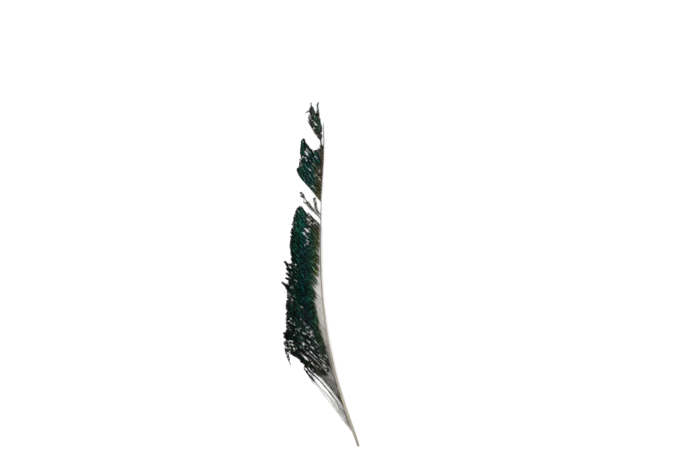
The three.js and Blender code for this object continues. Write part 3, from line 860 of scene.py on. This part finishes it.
def make_shaft():
    sides, rings = 24, 460
    ends = [(0.02, 1.25), (0.20, 1.15), (0.33, 0.85), (0.42, 0.25), (0.50, 0.03), (0.64, 0.0), (0.80, 0.12), (0.91, 0.45), (0.97, 0.9)]
    ys = np.concatenate([[e[1] for e in ends], 1.5 + (SPAN - 1.55) * np.linspace(0, 1, rings) ** 1.02])
    rr = np.concatenate([[e[0] * 1.12 for e in ends], shaft_r(ys[len(ends):])])
    n = len(ys)
    tip = smooth((SPAN - ys) / 3.0) ** 0.5
    rr = rr * np.where(ys > SPAN - 3, np.maximum(tip, 0.12), 1)
    a = np.linspace(0, 2 * np.pi, sides, endpoint=False)
    ring, ang = np.repeat(np.arange(n), sides), np.tile(a, n)
    Y, R = ys[ring], rr[ring]
    rachis = smooth((Y - 20) / 22) * (1 - smooth((Y - 292) / 30))
    ca, sa = np.cos(ang), np.sin(ang)
    # rounder quill, squarer rachis, with the groove below and a faint crease on each flank
    square = 1 + 0.09 * rachis * np.cos(4 * ang) * -1
    groove = 1 - 0.30 * rachis * np.exp(-((np.mod(ang - 1.5 * np.pi + np.pi, 2 * np.pi) - np.pi) / 0.36) ** 2)
    ridge = 1 + 0.012 * np.sin(7 * ang + Y * 0.05) + 0.010 * np.sin(13 * ang - Y * 0.11)
    ridge = ridge + 0.015 * wave(Y / 2.2 + ang * 0.8, 31, 211)
    scar = 0.05 * np.exp(-((Y - 16.5) / 1.2) ** 2) * np.exp(-((ang - 1.5 * np.pi) / 0.5) ** 2)
    k = R * square * groove * (ridge - scar)
    side, up = k * ca, k * sa
    wob = 0.16 * wave(ys / 9.0, 77, 101) * smooth(ys / 25) + 0.07 * wave(ys / 3.4, 78, 101) * smooth(ys / 25)
    cx = plan_x(np.clip(ys, 0, SPAN)) + wob
    head = np.arctan2(np.gradient(cx, ys + np.arange(n) * 1e-9) * (ys > 2), 1.0)
    head = np.where(ys <= 2, np.arctan2(float(plan_x(3.0) - plan_x(0.0)), 3.0), head)
    cz = shaft_z(ys)
    verts = np.stack([cx[ring] + side * np.cos(head[ring]), Y - side * np.sin(head[ring]), cz[ring] + up], 1)
    verts[:, 2] = np.maximum(verts[:, 2], 0.0)
    faces = []
    i = np.arange(n - 1)[:, None] * sides
    for c in range(sides):
        d = (c + 1) % sides
        faces.append(np.concatenate([i + c, i + d, i + sides + d, i + sides + c], 1))
    faces = np.concatenate(faces)
    inner = np.arange(sides, dtype=np.int64)[None, ::-1].copy()
    outer = (np.arange(sides, dtype=np.int64) + (n - 1) * sides)[None]
    pith = np.repeat((np.arange(n) < 5) * 1.0, sides)
    pith = np.maximum(pith, 0.35 * np.exp(-((Y - 1.2) / 1.5) ** 2))
    # painted shade: flanks darker by the angle around the shaft, partly its own darker sides and partly shade where
    # the round shaft turns away from the light
    flank = (0.15 + 0.75 * smooth((Y - 40) / 40)) * smooth((np.abs(ca) - 0.45) / 0.4) * (1 - 0.5 * (sa < -0.3))
    values = np.stack([Y / SPAN, pith, np.full(len(Y), 0.5), flank], 1)
    uv = np.stack([0.02 + 0.96 * ang / (2 * np.pi), 0.01 + 0.98 * ring / n], 1)
    sh = Sheet()
    sh.add(verts, faces, values, uv, 0, True)
    sh.verts.append(np.zeros((0, 3), np.float32)); sh.values.append(np.zeros((0, 4), np.float32)); sh.uv.append(np.zeros((0, 2), np.float32))
    for cap in (inner, outer):
        sh.faces.append(cap); sh.kinds.append(np.zeros(1, np.int32)); sh.soft.append(np.ones(1, bool))
    return sh.make("shaft_keratin_surface", [keratin])


shaft = make_shaft()
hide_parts("shaft")
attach(shaft, "root")


# ---------------------------------------------------------------------------
# The vane

total = 0


def across_vane(b, start, stop=1.0):
    """Hue against how far out along the barb a barbule sits: start at the foot of the covered part."""
    begin = start if isinstance(start, np.ndarray) else np.full(len(b.L), float(start))
    return lambda s, bi: np.clip(begin[bi] + (stop - begin[bi]) * (s - b.bare[bi]) / (b.L[bi] - b.bare[bi]), 0, 1)


def flat_tone(value):
    return lambda t, y: np.full(len(t), value)


def build(piece, node, b, start, tone_of, step=0.30, wide=0.26, thick=1.0, seed=1, gaps=0.0, stop=1.0, turn=42.0,
          taper=1.2, hatch=1.08, look=green):
    global total
    sheet = Sheet()
    add_rami(sheet, b, thick)
    add_barbules(sheet, b, across_vane(b, start, stop), tone_of, step, wide, seed, gaps, WORN.get(node, ()), turn, taper, hatch)
    ob = sheet.make(piece, [look, ramus])
    tris = sum(len(f) * (f.shape[1] - 2) for f in sheet.faces)
    total += tris
    print(piece, len(b.P), "barbs", tris, "triangles")
    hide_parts(node)
    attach(ob, "root")


main = lay_barbs("main_vane", 0.70, 11, long=1.3, release=1.0)
hue = 0.02 + 0.13 * smooth((main.bare - 1.5) / 8)


def main_tone(t, y):
    """Brown where the top of the vane is worn, and near the foot of the lowest barbs."""
    return 0.8 * smooth((y - 208) / 9) * (1 - smooth((t - 0.45) / 0.3)) + 0.6 * smooth((96 - y) / 26) * (1 - 0.8 * t)


order = np.argsort(main.y, kind="stable")
main, hue = main.take(order), hue[order]
cuts = [0] + [int(np.searchsorted(main.y, edge)) for edge in (100, 140, 182)] + [len(main.y)]
for k, part in enumerate(("lowest", "lower", "upper", "highest")):
    pick = np.arange(cuts[k], cuts[k + 1])
    build("main_vane_" + part, "main_vane", main.take(pick), hue[pick], main_tone,
          step=(0.27, 0.26, 0.25, 0.25)[k], seed=21 + k, gaps=(0.008, 0.003, 0.002, 0.001)[k])

build("upper_lock_barbs", "upper_lock", lay_barbs("upper_lock", 0.52, 31, long=1.4), 0.03,
      lambda t, y: 0.85 * smooth((y - 262) / 10) * (1 - smooth((t - 0.12) / 0.26)) + 0.05, step=0.25, seed=41, gaps=0.022,
      turn=36.0, taper=2.0, hatch=0.7, look=teal)
build("tip_lock_barbs", "tip_lock",
      lay_barbs("tip_lock", 0.80, 33, clump=(2, 4), long=1.9, bare_of=lambda y, L: np.full(len(y), 0.5)),
      0.42, lambda t, y: 0.25 + 0.65 * smooth((288 - y) / 3) + 0.7 * (1 - smooth((t - 0.42) / 0.12)),
      step=0.24, seed=43, gaps=0.06, turn=22.0, taper=6.0, hatch=0.8, look=tipped)
build("lower_lock_barbs", "lower_lock", lay_barbs("lower_lock", 0.56, 35, clump=(3, 6), long=1.3, gather=0.66, release=0.7), 0.25,
      lambda t, y: 0.35 + 0.4 * (1 - smooth((t - 0.5) / 0.3)), step=0.26, seed=45, gaps=0.015, thick=0.8)
build("basal_barb_fan", "basal_barbs", lay_barbs("basal_barbs", 0.95, 37, clump=(2, 4), long=1.15, loosen=0.6, gather=0.8), 0.3,
      flat_tone(0.5), step=0.30, seed=47, gaps=0.03, thick=1.1)
build("gap_strand_long_barbs", "gap_strand_long",
      lay_barbs("gap_strand_long", 0.40, 39, clump=(1, 2), long=2.4, bare_of=lambda y, L: 0.16 * L), 0.1,
      flat_tone(0.9), step=0.24, seed=49, gaps=0.15, stop=0.5, turn=40.0, taper=2.0, hatch=0.3, look=grey)
build("gap_strand_short_barbs", "gap_strand_short",
      lay_barbs("gap_strand_short", 0.5, 41, clump=(1, 2), long=1.1, bare_of=lambda y, L: 0.10 * L), 0.1,
      flat_tone(0.9), step=0.24, seed=51, gaps=0.03, thick=1.5, stop=0.5, turn=10.0, taper=2.0, hatch=0.3, look=grey)
print("triangles in all", total)

# ---------------------------------------------------------------------------
# Floor, light and camera

floor_mesh = bpy.data.meshes.new("floor")
floor_mesh.from_pydata([(-3, -3, 0), (3, -3, 0), (3, 3, 0), (-3, 3, 0)], [], [(0, 1, 2, 3)])
floor = bpy.data.objects.new("floor", floor_mesh)
bpy.context.scene.collection.objects.link(floor)
fm, fnt, fp = new_material("floor_white")
fp.inputs["Base Color"].default_value = (0.93, 0.93, 0.93, 1)
fp.inputs["Roughness"].default_value = 0.9
fp.inputs["Specular IOR Level"].default_value = 0.1
floor_mesh.materials.append(fm)

world = bpy.data.worlds.new("studio")
world.use_nodes = True
bg = world.node_tree.nodes["Background"]
bg.inputs["Color"].default_value = (1, 1, 1, 1)
bg.inputs["Strength"].default_value = 0.95
bpy.context.scene.world = world


def area(name, place, target, size, power):
    light = bpy.data.lights.new(name, "AREA")
    light.shape = "DISK"
    light.size = size
    light.energy = power
    ob = bpy.data.objects.new(name, light)
    ob.location = place
    ob.rotation_mode = "QUATERNION"
    ob.rotation_quaternion = (Vector(target) - Vector(place)).to_track_quat("-Z", "Y")
    bpy.context.scene.collection.objects.link(ob)


area("key", (-0.7, 0.7, 1.9), (0, 0, 0), 1.4, 16)
area("fill", (0.9, -0.6, 1.8), (0, 0, 0), 1.4, 9)

# The camera looks straight down. Its middle is the middle of the photograph's frame, at 1 mm a pixel of 700.
LEAN = math.atan2(35.0, 325.5)
lens, width = 85.0, 0.700
height = width * lens / 36.0
cam_data = bpy.data.cameras.new("camera")
cam_data.lens = lens
cam_data.sensor_width = 36.0
cam_data.clip_start, cam_data.clip_end = 0.01, 20
cam = bpy.data.objects.new("camera", cam_data)
mid = Vector(((14.37 + SHIFT[0]) * MM, (213.19 + SHIFT[1]) * MM, height + 0.002))
right = Vector((math.cos(LEAN), -math.sin(LEAN), 0))
up = Vector((math.sin(LEAN), math.cos(LEAN), 0))
back = Vector((0, 0, 1))
cam.matrix_world = Matrix.Translation(mid) @ Matrix((right, up, back)).transposed().to_4x4()
bpy.context.scene.collection.objects.link(cam)
bpy.context.scene.camera = cam
bpy.context.scene.view_settings.view_transform = "Standard"
